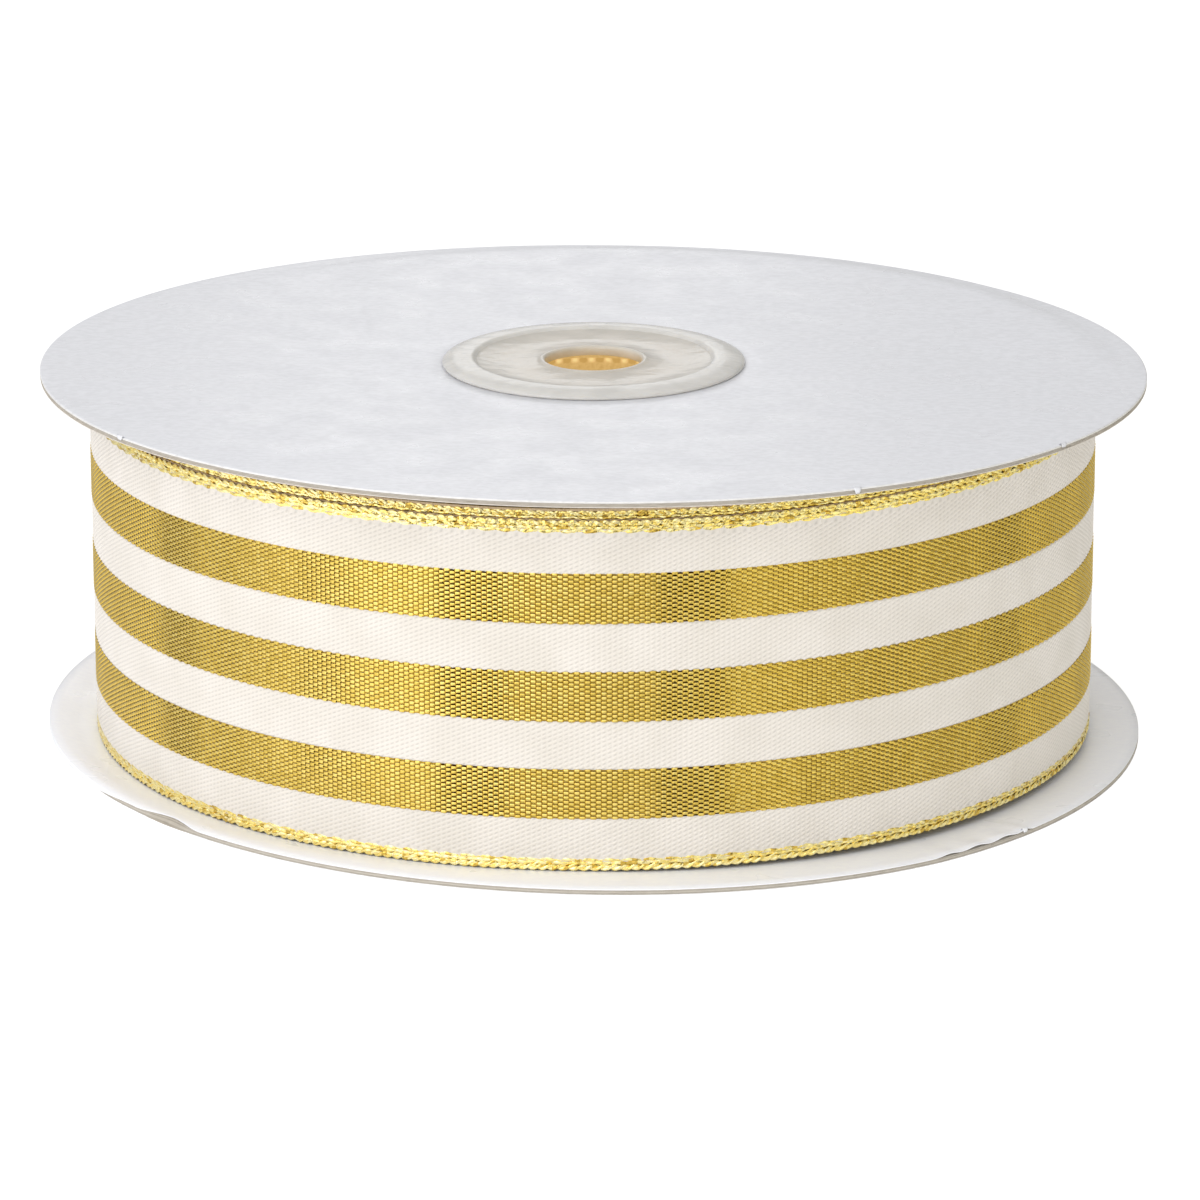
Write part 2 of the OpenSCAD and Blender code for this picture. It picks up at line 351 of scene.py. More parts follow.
# The last of THREAD is no yarn's tint: it is a dark sheet of painted shade behind the yarns
THREAD = [gold_film("thread_pale", (1.0, 0.84, 0.36), (1.0, 0.90, 0.48), 0.20, 0.30),
          gold_film("thread_mid", (0.95, 0.74, 0.22), (1.0, 0.83, 0.32), 0.16, 0.26),
          gold_film("thread_deep", (0.62, 0.42, 0.08), (0.78, 0.56, 0.13), 0.16, 0.24),
          gold_film("thread_painted_shade", (0.27, 0.20, 0.05), (0.45, 0.34, 0.10), 0.2, 0.3)]
MID_THREAD, PAINTED_SHADE_THREAD = 1, 3
THREAD_TINTS = PAINTED_SHADE_THREAD  # yarns take the tints that come before the shade behind them
DULL_BROWN_YARN = dull_brown_yarn("dull_brown_yarn")
TAPE = clear_film("clear_tape")


# ---------------------------------------------------------------- ribbon

def ribbon_radius(angle):
    """Radius of the ribbon's outside along its run."""
    turn = ROLL_R - (ROLL_R - WOUND_R) * (angle - LIFT_A) / (2 * math.pi)
    lifted = ROLL_R + (FREE_R - ROLL_R) * smoothstep((LIFT_A - angle) / math.radians(15))
    wound = WOUND_R - TURN_PITCH * (angle - TURN_END_A) / (2 * math.pi)
    return np.where(angle < LIFT_A, lifted, np.where(angle < TURN_END_A, turn, wound))


SETTLED = 0.18 * MM          # the roll has sunk that far towards the lower disc


def ribbon_height(angle):
    """Height of the ribbon's lower edge: the turns under the outermost have crept up."""
    creep = smoothstep((angle - LIFT_A - math.radians(290)) / math.radians(100))
    settled = smoothstep((ribbon_radius(angle) - BARREL_R - 3 * MM) / (25 * MM))
    return OUTER_Z - SETTLED + (WOUND_Z - OUTER_Z) * creep * settled


WEAVE_DEPTH = 0.045 * MM     # how far a yarn rises or dips
GROUND_LOW, GROUND_HIGH = SELVEDGE_W, RIBBON_W - SELVEDGE_W
TUCK = 0.5 * MM              # how far the ground runs in under each selvedge


def ground_rows():
    """Rows across the ground: heights over the ribbon's lower edge, levels out from its outside, and
    weave, which is 1 or -1, or 0 on a plain row."""
    face_level, sunk_level = -0.05 * MM, -0.16 * MM
    bottom, top = GROUND_LOW, GROUND_HIGH
    first_row = math.ceil((bottom - STRIPES["lower"]) / FILM_PITCH)
    last_row = math.floor((top - STRIPES["lower"]) / FILM_PITCH) - 1
    heights = [bottom - TUCK, bottom - 0.1 * MM]
    levels = [sunk_level, face_level - WEAVE_DEPTH]
    parities = [0, 0]
    for row in range(first_row, last_row + 1):
        z = STRIPES["lower"] + (row + 0.5) * FILM_PITCH
        inside = [s for s in STRIPES.values() if s < z < s + STRIPE_W]
        if not inside:
            heights.append(z)
            levels.append(face_level)
            parities.append(1 if row % 2 else -1)
        elif min(z - inside[0], inside[0] + STRIPE_W - z) < FILM_PITCH:
            heights.append(z)
            levels.append(sunk_level)
            parities.append(0)
    heights += [top + 0.1 * MM, top + TUCK]
    levels += [face_level - WEAVE_DEPTH, sunk_level]
    parities += [0, 0]
    return heights, levels, parities


def woven_ground(name, first_column, columns, thickness):
    """The ivory ground: a fine plain weave in relief, sunk under each gold stripe."""
    half = np.arange(2 * columns + 1)
    angles = CUT_A + (first_column + half / 2) * COLUMN_A
    heights, levels, parities = ground_rows()
    column = first_column + half // 2
    at_centre = half % 2 == 1
    sign = np.where(at_centre, np.where(column % 2, -1.0, 1.0), 0.0)
    dip = np.where(at_centre, 0.0, -0.5 * WEAVE_DEPTH)
    out = (ribbon_radius(angles)[:, None] + np.array(levels)[None, :] + dip[:, None]
           + WEAVE_DEPTH * sign[:, None] * np.array(parities)[None, :])
    inner = np.repeat((ribbon_radius(angles) - thickness)[:, None], 2, axis=1)
    radii = np.concatenate([out, inner], axis=1)
    heights = heights + [GROUND_HIGH + TUCK, GROUND_LOW - TUCK]
    z = np.array(heights)[None, :] + ribbon_height(angles)[:, None]
    points, faces = swept(angles, radii, z)
    ground = add_mesh(name, [(points, faces, [0, 0, 0])], [IVORY], smooth=False)
    # Each point's weave level, which the ivory material turns into painted shade
    level = np.zeros(radii.shape, np.float32)
    level[:, :len(parities)] = sign[:, None] * np.array(parities)[None, :]
    ground.data.attributes.new(RELIEF, "FLOAT", "POINT").data.foreach_set("value", level.ravel())
    return ground


def film_strip(first_column, columns, row, z_low):
    """One gold film yarn, over one weft and under the next. Returns its points and faces, which faces
    show on top, and the number of the float that each belongs to."""
    over = np.array([0.10, 0.32, 0.68, 0.90])
    under = np.array([0.14, 0.86])
    starts_over = (first_column + row) % 2 == 0
    period = np.concatenate([over, 1 + under] if starts_over else [under, 1 + over])
    lift = np.array([0.72, 1, 1, 0.72, -1, -1] if starts_over else [-1, -1, 0.72, 1, 1, 0.72])
    on_top = lift > 0
    count = columns // 2
    steps = (period[None, :] + 2 * np.arange(count)[:, None]).ravel()
    steps[0], steps[-1] = 0, 2 * count
    lift, on_top = np.tile(lift, count), np.tile(on_top, count)
    angles = CUT_A + (first_column + steps) * COLUMN_A
    base = ribbon_radius(angles) + (-0.06 + 0.045 * lift) * MM
    half_w = np.where(on_top, 0.155, 0.10) * MM
    crown = np.where(on_top, 0.045, 0.0) * MM
    z = ribbon_height(angles) + z_low + (row + 0.5) * FILM_PITCH
    radii = np.stack([base, base + crown, base], axis=1)
    heights = np.stack([z - half_w, z, z + half_w], axis=1)
    points, faces = swept(angles, radii, heights)
    shown = on_top[:-1] & on_top[1:]
    return points, faces, np.repeat(shown, 3), np.repeat(np.cumsum(~shown), 3)


def gold_stripe(name, first_column, columns, z_low, seed):
    """A gold stripe of film yarns. Each float over a weft has its own tint."""
    random = np.random.default_rng(seed)
    parts = []
    for row in range(FILMS):
        points, faces, shown, float_number = film_strip(first_column, columns, row, z_low)
        tints = random.choice(FILM_TINTS, size=columns * 4, p=[0.3, 0.45, 0.25])
        # Faces that dip under a weft take the darker film, painted shade
        numbers = np.where(shown, tints[float_number], SHADED_BELOW)
        parts.append((points, faces, [numbers, SHADED_BELOW, SHADED_BELOW]))
    return add_mesh(name, parts, FILM + [FILM_BELOW_SHADED], smooth=False)


BRAID_SIDES = 6
TINT_STEPS = 3               # steps of one tint along a yarn
WANDER_STEPS = 40            # steps between the places where a yarn's lay is drawn tighter or looser

# Yarns of a braided selvedge: a rope of two strands along the edge, two flat yarns beside it, and one
# thin yarn that weaves over them. For each: distance from the ribbon's edge, sway across, sway off the
# cloth, lay (1 or -1), phase, thickness, and pitch. All in mm. At the rope's waists a dark sheet behind,
# painted shade, shows as a dark point.
BRAID = [(0.34, 0.17, 0.08, 1, 0.00, 0.20, 2.15), (0.34, 0.17, 0.08, 1, 0.50, 0.20, 2.15),
         (0.84, 0.05, 0.05, -1, 0.00, 0.21, 2.15), (1.19, 0.05, 0.05, -1, 0.50, 0.20, 2.15),
         (0.66, 0.32, 0.13, 1, 0.10, 0.10, 4.3)]

# On the turn below, dull grey-brown yarns lie along the edge and beside the flat yarn
INNER_BRAID = [(0.48, 0.18, 0.09, 1, 0.00, 0.20, 2.15), (0.48, 0.18, 0.09, 1, 0.50, 0.20, 2.15),
               (0.95, 0.04, 0.05, -1, 0.00, 0.17, 2.15), (0.60, 0.30, 0.15, 1, 0.10, 0.09, 4.3)]
DULL_BROWN_LINES = [(0.10, 0.02, -0.05, 1, 0.25, 0.14, 40.0), (1.22, 0.02, -0.05, 1, 0.25, 0.15, 40.0)]


def braid_yarn(angles, edge, inwards, yarn, random):
    """One metallic yarn of a selvedge, a faceted thread. edge is the ribbon's edge."""
    offset, across, stand, lay, phase, thickness, pitch = yarn
    places = angles[::WANDER_STEPS]
    wander = 0.7 * smoothstep(np.interp(angles, places, random.uniform(-0.3, 1.0, len(places))))
    along = 2 * math.pi * (angles * ROLL_R / (pitch * MM) * lay + phase) + wander
    z = edge + inwards * (offset + across * np.sin(along) + random.normal(0, 0.006, len(angles))) * MM
    centre = ribbon_radius(angles) - 0.17 * MM + stand * np.cos(along) * MM
    thickness = thickness * random.uniform(0.93, 1.07, len(angles)) * MM
    around = (np.arange(BRAID_SIDES) / BRAID_SIDES * 2 * math.pi)[None, :] + (0.4 * along)[:, None]
    radii = centre[:, None] + 0.55 * thickness[:, None] * np.cos(around)
    heights = z[:, None] + thickness[:, None] * np.sin(around)
    return swept(angles, radii, heights)


def selvedge_parts(start, end, upper, seed, yarns=BRAID, step=0.2 * MM):
    """A braided selvedge along the ribbon from one angle to another."""
    random = np.random.default_rng(seed)
    angles = np.linspace(start, end, max(8, round((end - start) * ROLL_R / step)))
    edge = ribbon_height(angles) + (RIBBON_W if upper else 0)
    parts = []
    for yarn in yarns:
        points, faces = braid_yarn(angles, edge, -1 if upper else 1, yarn, random)
        run = TINT_STEPS * BRAID_SIDES
        tints = random.choice(THREAD_TINTS, size=len(faces[0]) // run + 1, p=[0.45, 0.45, 0.1])
        parts.append((points, faces, [np.repeat(tints, run)[:len(faces[0])], MID_THREAD, MID_THREAD]))
    # A dark sheet behind the yarns: painted shade that shows through the gaps between them
    levels = sorted(abs(level - (RIBBON_W if upper else 0)) for level in (0.15 * MM, SELVEDGE_W - 0.1 * MM))
    points, faces = band(angles[::4], levels[0], levels[1], -0.25 * MM, -0.31 * MM)
    parts.append((points, faces, [PAINTED_SHADE_THREAD] * 3))
    return parts


def band(angles, z_low, z_high, outer, inner):
    """A plain strip of the ribbon between two heights above its lower edge, inside and outside offset."""
    radius, height = ribbon_radius(angles)[:, None], ribbon_height(angles)[:, None]
    offsets = np.array([outer, outer, inner, inner])[None, :]
    levels = np.array([z_low, z_high, z_high, z_low])[None, :]
    return swept(angles, radius + offsets, height + levels)


def wound_angles(start, steps_per_turn):
    end = TURN_END_A + 2 * math.pi * (WOUND_TURNS - 1)
    return np.linspace(start, end, round((end - start) / (2 * math.pi) * steps_per_turn))


def wound_band(name, z_low, z_high, outer, inner, material):
    points, faces = band(wound_angles(TURN_END_A, 110), z_low, z_high, outer, inner)
    return add_mesh(name, [(points, faces, [0, 0, 0])], [material], "core")


def wound_selvedge(name, upper, seed):
    """Braided on the turn that shows over the outermost, and a plainer knotted edge on those under it."""
    braided_end = TURN_END_A + 1.3 * 2 * math.pi
    parts = selvedge_parts(TURN_END_A, braided_end, upper, seed, INNER_BRAID)
    random = np.random.default_rng(seed + 1)
    angles = wound_angles(braided_end, 200)
    edge = ribbon_height(angles) + (RIBBON_W if upper else 0)
    inwards = -1 if upper else 1
    middle = ribbon_radius(angles) - 0.2 * MM
    bead = 0.06 * np.abs(np.sin(np.arange(len(angles)) * 1.3)) * MM
    radii = middle[:, None] + np.array([0.17, 0.17, -0.17, -0.17])[None, :] * MM
    outer_edge = edge + inwards * bead
    inner_edge = edge + inwards * SELVEDGE_W
    low, high = (inner_edge, outer_edge) if upper else (outer_edge, inner_edge)
    points, faces = swept(angles, radii, np.stack([low, high, high, low], axis=1))
    tints = random.choice(THREAD_TINTS, size=len(faces[0]), p=[0.3, 0.4, 0.3])
    parts.append((points, faces, [tints, MID_THREAD, MID_THREAD]))
    lined_angles = np.linspace(TURN_END_A, braided_end, 1200)
    lined_edge = ribbon_height(lined_angles) + (RIBBON_W if upper else 0)
    for line in DULL_BROWN_LINES:
        points, faces = braid_yarn(lined_angles, lined_edge, inwards, line, random)
        parts.append((points, faces, [len(THREAD)] * 3))
    return add_mesh(name, parts, THREAD + [DULL_BROWN_YARN], "core", smooth=False)


def make_wound_turns():
    ground = wound_band("wound_ribbon_detail", SELVEDGE_W, RIBBON_W - SELVEDGE_W,
                        -0.06 * MM, -0.36 * MM, IVORY)
    stand_for(ground)
    trims = []
    for place, z_low in STRIPES.items():
        stripe = wound_band(f"wound_{place}_stripe_detail", z_low, z_low + STRIPE_W,
                            -0.01 * MM, -0.055 * MM, FILM[1])
        trims.append(stand_for(stripe))
    for place in ("upper", "lower"):
        selvedge = wound_selvedge(f"wound_{place}_selvedge_detail", place == "upper", 11 + len(trims))
        trims.append(stand_for(selvedge))


def make_ribbon_length(prefix, first_column, columns, thickness, seed):
    """Ground, stripes and selvedges of one length of detailed ribbon. Returns ground and trims."""
    ground = woven_ground(f"{prefix}_ground_detail", first_column, columns, thickness)
    stand_for(ground)
    trims = []
    for place, z_low in STRIPES.items():
        stripe = gold_stripe(f"{prefix}_{place}_stripe_detail", first_column, columns, z_low,
                             seed + len(trims))
        trims.append(stand_for(stripe))
    start, end = CUT_A + first_column * COLUMN_A, CUT_A + (first_column + columns) * COLUMN_A
    for place in ("upper", "lower"):
        parts = selvedge_parts(start, end, place == "upper", seed + len(trims))
        selvedge = add_mesh(f"{prefix}_{place}_selvedge_detail", parts, THREAD, smooth=False)
        trims.append(stand_for(selvedge))
    return ground, trims


def make_outer_turn():
    ground, trims = make_ribbon_length("outer_turn", FREE_COLUMNS, TURN_COLUMNS, GROUND_T, 30)
    for piece in [ground] + trims:
        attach(piece, "core")


def make_free_end():
    ground, trims = make_ribbon_length("free_end", 0, FREE_COLUMNS, 0.25 * MM, 50)
    for piece in [ground] + trims:
        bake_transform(piece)


def make_end_tape():
    """Clear tape over the cut end: it lies on the free end, steps down and sticks to the turn beside it."""
    low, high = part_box("end_tape")[0].z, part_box("end_tape")[1].z
    reach = 9 * MM / ROLL_R
    angles = np.linspace(CUT_A - reach, CUT_A + reach, 60)
    on_end = smoothstep((angles - CUT_A) / math.radians(1.5) + 1)
    turn_r = ribbon_radius(angles + 2 * math.pi) + 0.06 * MM
    crease = 0.03 * MM * np.random.default_rng(80).uniform(0, 1, len(angles))
    inner = turn_r + (FREE_R + 0.05 * MM - turn_r) * on_end + crease
    levels = np.array([low, (2 * low + high) / 3, (low + 2 * high) / 3, high])
    radii = np.concatenate([np.repeat((inner + 0.05 * MM)[:, None], 4, axis=1),
                            np.repeat(inner[:, None], 4, axis=1)], axis=1)
    points, faces = swept(angles, radii, np.concatenate([levels, levels[::-1]])[None, :])
    tape = add_mesh("end_tape_detail", [(points, faces, [0, 0, 0])], [TAPE], "free_end")
    stand_for(tape)


# ---------------------------------------------------------------- card discs

def upper_warp(x, y):
    """The upper disc's sag and lift from flat: towards the viewer and to the left it stands higher."""
    tilt = -0.0179 * y - 0.0083 * x
    return limited_warp(tilt, np.hypot(x, y), 0.4 * MM, 1.1 * MM)


def lower_warp(x, y):
    """The lower disc's warp. It may rise little under the roll, and the floor is close below it. At the
    back it stays flat, so that the lifted free end swings clear over its rim while the disc is unturned.
    Turned by 225 to 315 degrees, the disc brings its raised side under the lifted end, and they cross."""
    tilt = -0.0185 * x * (1 - smoothstep((np.abs(from_front(x, y)) - 122) / 30))
    radius = np.hypot(x, y)
    return -limited_warp(-tilt, radius, 0.04 * MM, 1.1 * MM, 0.68 * MM)


def limited_warp(tilt, radius, under_roll, beyond_roll, lift=1.3 * MM):
    """A warp that starts clear of the hub and stays within the room beside the roll."""
    tilt = tilt * smoothstep((radius - 1.2 * CAP_R) / (12 * MM))
    room = under_roll + (beyond_roll - under_roll) * smoothstep((radius - ROLL_R - 0.6 * MM) / (4 * MM))
    return np.clip(tilt, -room, lift)


RIM_STEPS = 900
FRONT_A = -math.pi / 2       # the side of the spool that faces the camera


def from_front(x, y):
    """Degrees round the spool from the side that faces the camera, to the right."""
    return np.degrees(np.arctan2(x, -y))


def bump_at(degrees, centre, half_width):
    return smoothstep(1 - np.abs(degrees - centre) / half_width)


def disc_layer(inner_r, section, warp, ripple=None):
    """A layer of a disc. section is its rim, anticlockwise from the underside, as (distance in from the
    disc's edge, height); its first and last points run in to the hole on flat faces. ripple moves the
    rim's points: it gives how far out and how far up."""
    angles = np.arange(RIM_STEPS) / RIM_STEPS * 2 * math.pi
    spread = np.array([0.0, 0.12, 0.3, 0.5, 0.68, 0.8, 0.88, 0.908, 0.94, 0.975])
    reach = DISC_R - section[0][0] - inner_r
    under = inner_r + spread * reach
    over = inner_r + spread * (DISC_R - section[-1][0] - inner_r)
    rim = np.array([DISC_R - s[0] for s in section])
    rim_z = np.array([s[1] for s in section])
    radii = np.concatenate([under, rim, over[::-1]])[None, :] + np.zeros((RIM_STEPS, 1))
    heights = np.concatenate([np.full(len(under), rim_z[0]), rim_z, np.full(len(over), rim_z[-1])])[None, :]
    heights = heights + np.zeros((RIM_STEPS, 1))
    if ripple is not None:
        at_rim = slice(len(under), len(under) + len(rim))
        out, up = ripple(angles, rim_z)
        radii[:, at_rim] += out
        heights[:, at_rim] += up
    x, y = radii * np.cos(angles)[:, None], radii * np.sin(angles)[:, None]
    return swept(angles, radii, heights + warp(x, y), ring=True)


def dent(angles):
    """How far a knock has crushed the lower disc's edge, left of the front."""
    degrees = from_front(np.cos(angles), np.sin(angles))
    return 0.95 * MM * bump_at(degrees, -48.3, 5.4)


def folded(angles):
    """1 where the lower disc's upper liner was pressed down over the cut edge, round the left side."""
    degrees = from_front(np.cos(angles), np.sin(angles))
    return smoothstep((-54 - degrees) / 9) * smoothstep((degrees + 150) / 20)


def ply_ripple(seed, dented, depth=0.025 * MM):
    """The plies of the cut edge stand in and out a little, and wander along it. A dent crushes them most
    at the top."""
    def ripple(angles, rim_z):
        random = np.random.default_rng(seed)
        out = np.zeros((len(angles), len(rim_z)))
        for wave in range(1, 60, 3):
            phase = random.uniform(0, 2 * math.pi, len(rim_z))
            out += np.sin(wave * angles[:, None] * 3 + phase[None, :]) / 9
        out += random.normal(0, 0.5, out.shape)
        out[:, [0, -1]] = 0
        out *= depth
        if dented:
            level = (rim_z - rim_z[0]) / (rim_z[-1] - rim_z[0])
            out -= dent(angles)[:, None] * (1.15 * level - 0.15)[None, :]
        return out, np.zeros_like(out)
    return ripple


def folded_ripple(angles, rim_z):
    """The lower disc's upper liner: drawn in at the dent, and pressed down over the edge where it is
    folded."""
    out = np.repeat(-1.15 * dent(angles)[:, None], len(rim_z), axis=1)
    down = np.where(rim_z < rim_z.max() - 0.05 * MM, 0.5 * MM, 0.0)
    return out, -folded(angles)[:, None] * down[None, :]


def loosened_warp(x, y):
    """The lower disc's upper liner has come loose right of the front, in low waves along the rim."""
    degrees = from_front(x, y)
    span = smoothstep((degrees - 35) / 4) * smoothstep((50 - degrees) / 1.2)
    waves = 0.62 + 0.38 * np.sin(degrees * 1.55)
    at_rim = smoothstep((np.hypot(x, y) - DISC_R) / (2.2 * MM) + 1)
    return lower_warp(x, y) + 0.3 * MM * span * waves * at_rim


def rim_place(angle, out, z, warp):
    """A point near a disc's rim: out is how far past the edge."""
    radius = DISC_R + out
    x, y = radius * math.cos(angle), radius * math.sin(angle)
    return x, y, z + float(warp(np.array(x), np.array(y)))


def burr(angle, width, path, warp, seed):
    """A torn shred of liner on the rim. path is its run, as (past the edge, height) pairs."""
    random = np.random.default_rng(seed)
    across, thickness = 5, 0.05 * MM
    layers = []
    for offset in (thickness, 0):
        rows = []
        for i, (out, z) in enumerate(path):
            taper = 1 - 0.55 * (i / (len(path) - 1)) ** 2
            rows.append([rim_place(angle + (t - 0.5) * width * taper / DISC_R,
                                   out + offset + random.uniform(0, 0.03) * MM,
                                   z + random.uniform(-0.03, 0.03) * MM, warp)
                         for t in np.linspace(0, 1, across)])
        layers.append(np.array(rows))
    loop = np.concatenate([layers[0], layers[1][:, ::-1]], axis=1)
    rows, columns = loop.shape[:2]
    first = np.arange(columns)
    faces = [grid_faces(rows, columns), first[None, ::-1].copy(),
             (first + (rows - 1) * columns)[None, :].copy()]
    return loop, faces, [0, 0, 0]


def marked_rim(mesh, section, start, spans):
    """A liner's mesh with its second material on that many spans, from the section's point start on."""
    points, faces = mesh
    columns = points.shape[1]
    first = (columns - len(section)) // 2 + start
    column = np.arange(len(faces[0])) % columns
    return points, faces, [np.where((column >= first) & (column < first + spans), 1, 0)]


def board_parts(layer, low, high, seed, dented):
    """The greyboard, whose cut edge shows its plies in two greys."""
    plies = 12
    edge = [(0.04 * MM, z) for z in np.linspace(low, high, plies + 1)]
    points, faces = layer(edge, ply_ripple(seed, dented))
    columns = points.shape[1]
    ply_tint = np.random.default_rng(seed).permutation(np.arange(columns) % 2)
    return [(points, faces, [ply_tint[np.arange(len(faces[0])) % columns]])]


def rolled_edge(board, face, sign):
    """The outer liner's rim: rolled over the cut edge, further on the upper disc. sign is 1 there."""
    overlap = 0.13 * MM if sign > 0 else 0.03 * MM
    return [(0.02 * MM, board - overlap * sign), (-0.015 * MM, board - (overlap - 0.02 * MM) * sign),
            (-0.02 * MM, face - 0.09 * MM * sign), (0.025 * MM, face - 0.045 * MM * sign),
            (0.09 * MM, face - 0.012 * MM * sign), (0.2 * MM, face)]


def square_edge(board, face, sign):
    """The inner liner's rim, cut square."""
    return [(0.015 * MM, face), (0.0, face + 0.03 * MM * sign), (0.0, board - 0.02 * MM * sign),
            (0.015 * MM, board)]


ROLLED_SPANS = 3             # spans of the rolled edge that stand upright; they take a greyer paper as painted shade


def make_disc(side, warp, paper_material, seed):
    """A disc of greyboard between two white liners. Its outer liner is rolled over the cut edge."""
    inner_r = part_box("core_barrel")[1].x - 1.12 * MM
    sign = 1 if side == "upper" else -1
    board_low, board_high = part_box(f"{side}_board")[0].z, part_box(f"{side}_board")[1].z
    outer_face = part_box(f"{side}_outer_liner")[1].z if sign > 0 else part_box(f"{side}_outer_liner")[0].z
    inner_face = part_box(f"{side}_inner_liner")[0].z if sign > 0 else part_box(f"{side}_inner_liner")[1].z
    board_outer = board_high if sign > 0 else board_low
    board_inner = board_low if sign > 0 else board_high

    def layer(section, ripple=None, own_warp=warp):
        return disc_layer(inner_r, section[::sign], own_warp, ripple)

    parts = board_parts(layer, board_inner, board_outer, seed, dented=sign < 0)
    board = add_mesh(f"{side}_board_detail", parts, [PLY_LIGHT, PLY_DARK], f"{side}_disc", smooth=False)

    rolled = rolled_edge(board_outer, outer_face, sign)
    start = 0 if sign > 0 else len(rolled) - 1 - ROLLED_SPANS
    parts = [marked_rim(layer(rolled), rolled, start, ROLLED_SPANS)]
    if sign > 0:
        parts += upper_burrs(outer_face, warp)
    outer = add_mesh(f"{side}_outer_liner_detail", parts, [paper_material, PAPER_RIM_SHADED], f"{side}_disc")

    square = square_edge(board_inner, inner_face, sign)
    if sign > 0:
        parts = [marked_rim(layer(square), square, -1, len(square) + 1)]
    else:
        parts = [(*layer(square, folded_ripple, loosened_warp), [0]), lower_nick(inner_face)]
    inner = add_mesh(f"{side}_inner_liner_detail", parts, [paper_material, PAPER_CUT_SHADED], f"{side}_disc")
    stand_for(board)
    stand_for(outer)
    stand_for(inner)


def lower_nick(face):
    """A shred of liner standing at the end of the loose stretch of the lower rim."""
    standing = [(-0.5 * MM, face), (-0.25 * MM, face + 0.28 * MM), (-0.02 * MM, face + 0.34 * MM),
                (0.08 * MM, face + 0.1 * MM), (0.06 * MM, face - 0.12 * MM)]
    return burr(FRONT_A + math.radians(48.6), 1.0 * MM, standing, lower_warp, 4)


def upper_burrs(face, warp):
    """Three shreds of liner on the upper rim, placed by their angle to the right of the front."""
    over_edge = [(-0.35 * MM, face), (-0.05 * MM, face + 0.06 * MM), (0.06 * MM, face - 0.12 * MM),
                 (0.09 * MM, face - 0.35 * MM), (0.05 * MM, face - 0.58 * MM)]
    standing = [(-0.3 * MM, face), (-0.1 * MM, face + 0.16 * MM), (0.05 * MM, face + 0.1 * MM),
                (0.1 * MM, face - 0.15 * MM), (0.06 * MM, face - 0.3 * MM)]
    return [burr(FRONT_A + math.radians(26.2), 0.9 * MM, over_edge, warp, 1),
            burr(FRONT_A - math.radians(54.7), 1.3 * MM, standing, warp, 2),
            burr(FRONT_A + math.radians(54.0), 1.1 * MM, standing, warp, 3)]


# ---------------------------------------------------------------- hub

CAP_STEPS = 256
NECK_Z = -0.9                # mm. Below it a cap takes the barrel's plastic, with its painted amber glow
RING_IN_R = 13.05            # mm. Beyond it a cap is its lighter ring; inside, the darker dish plastic is painted shade


def cap_profile():
    """A cap's section over the disc's outer face, in mm, anticlockwise from the ring's outer edge."""
    ring_out = [(14.2 + 2.6 * math.cos(a), 0.2 + 0.6 * math.sin(a))
                for a in np.linspace(0, math.pi / 2, 14)]
    crease = [(13.8, 0.82), (13.52, 0.8), (13.35, 0.73), (13.22, 0.6), (13.1, 0.52), (12.95, 0.48)]
    dish = [(r, 0.1 + 0.38 * ((r - 9.3) / 3.65) ** 2) for r in np.linspace(12.7, 9.3, 9)]
    dish += [(r, 0.1 + 0.24 * ((9.3 - r) / 3.0) ** 2) for r in np.linspace(8.8, 6.3, 7)]
    lip = [(6.1, 0.39), (5.95, 0.48), (5.78, 0.54), (5.62, 0.53), (5.5, 0.47), (5.43, 0.36), (5.4, 0.1),
           (5.4, -0.5), (5.46, -0.56)]
    web = [(9.3, -0.8), (11.6, -0.8), (11.8, -1.0), (11.8, -2.4), (11.9, -2.5), (12.9, -2.5), (13.0, -2.4)]
    root = [(13.0, -0.1), (13.02, 0.02), (16.72, 0.02), (16.8, 0.07)]
    return ring_out + crease + dish + lip + web + root


def make_cap(side, face):
    """A hub cap on a disc's outer face. The lower one is the same moulding turned over."""
    sign = 1 if side == "upper" else -1
    profile = cap_profile()[::sign]
    angles = np.arange(CAP_STEPS) / CAP_STEPS * 2 * math.pi
    radii = np.array([p[0] for p in profile])[None, :] * MM + np.zeros((CAP_STEPS, 1))
    heights = face + sign * np.array([p[1] for p in profile])[None, :] * MM + np.zeros((CAP_STEPS, 1))
    points, faces = swept(angles, radii, heights, ring=True)
    profile_r, profile_z = np.array(profile).T
    in_ring = np.minimum(profile_r, np.roll(profile_r, -1)) > RING_IN_R
    numbers = np.tile(np.where(profile_z < NECK_Z, 2, np.where(in_ring, 0, 1)), CAP_STEPS)
    cap = add_mesh(f"{side}_hub_cap_detail", [(points, faces, [numbers])],
                   [CAP_RING, CAP_DISH_SHADED, BARREL_PAINTED_GLOW], "core")
    stand_for(cap)


def make_hub():
    make_cap("upper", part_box("upper_outer_liner")[1].z)
    make_cap("lower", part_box("lower_outer_liner")[0].z)
    barrel = frame["nodes"]["core_barrel"]
    # The barrel takes the plastic with the painted glow
    barrel.data.materials.clear()
    barrel.data.materials.append(BARREL_PAINTED_GLOW)
    for polygon in barrel.data.polygons:
        polygon.material_index = 0


# ---------------------------------------------------------------- camera, light and floor

CAMERA_PLACE = (0, -0.6771, 0.21565)
CAMERA_TURN = {"pitch": 16.54, "yaw": -0.057, "roll": -0.07}     # degrees, pitch downwards from level
CAMERA_LENS = 188.7          # mm, on a sensor 36 mm wide


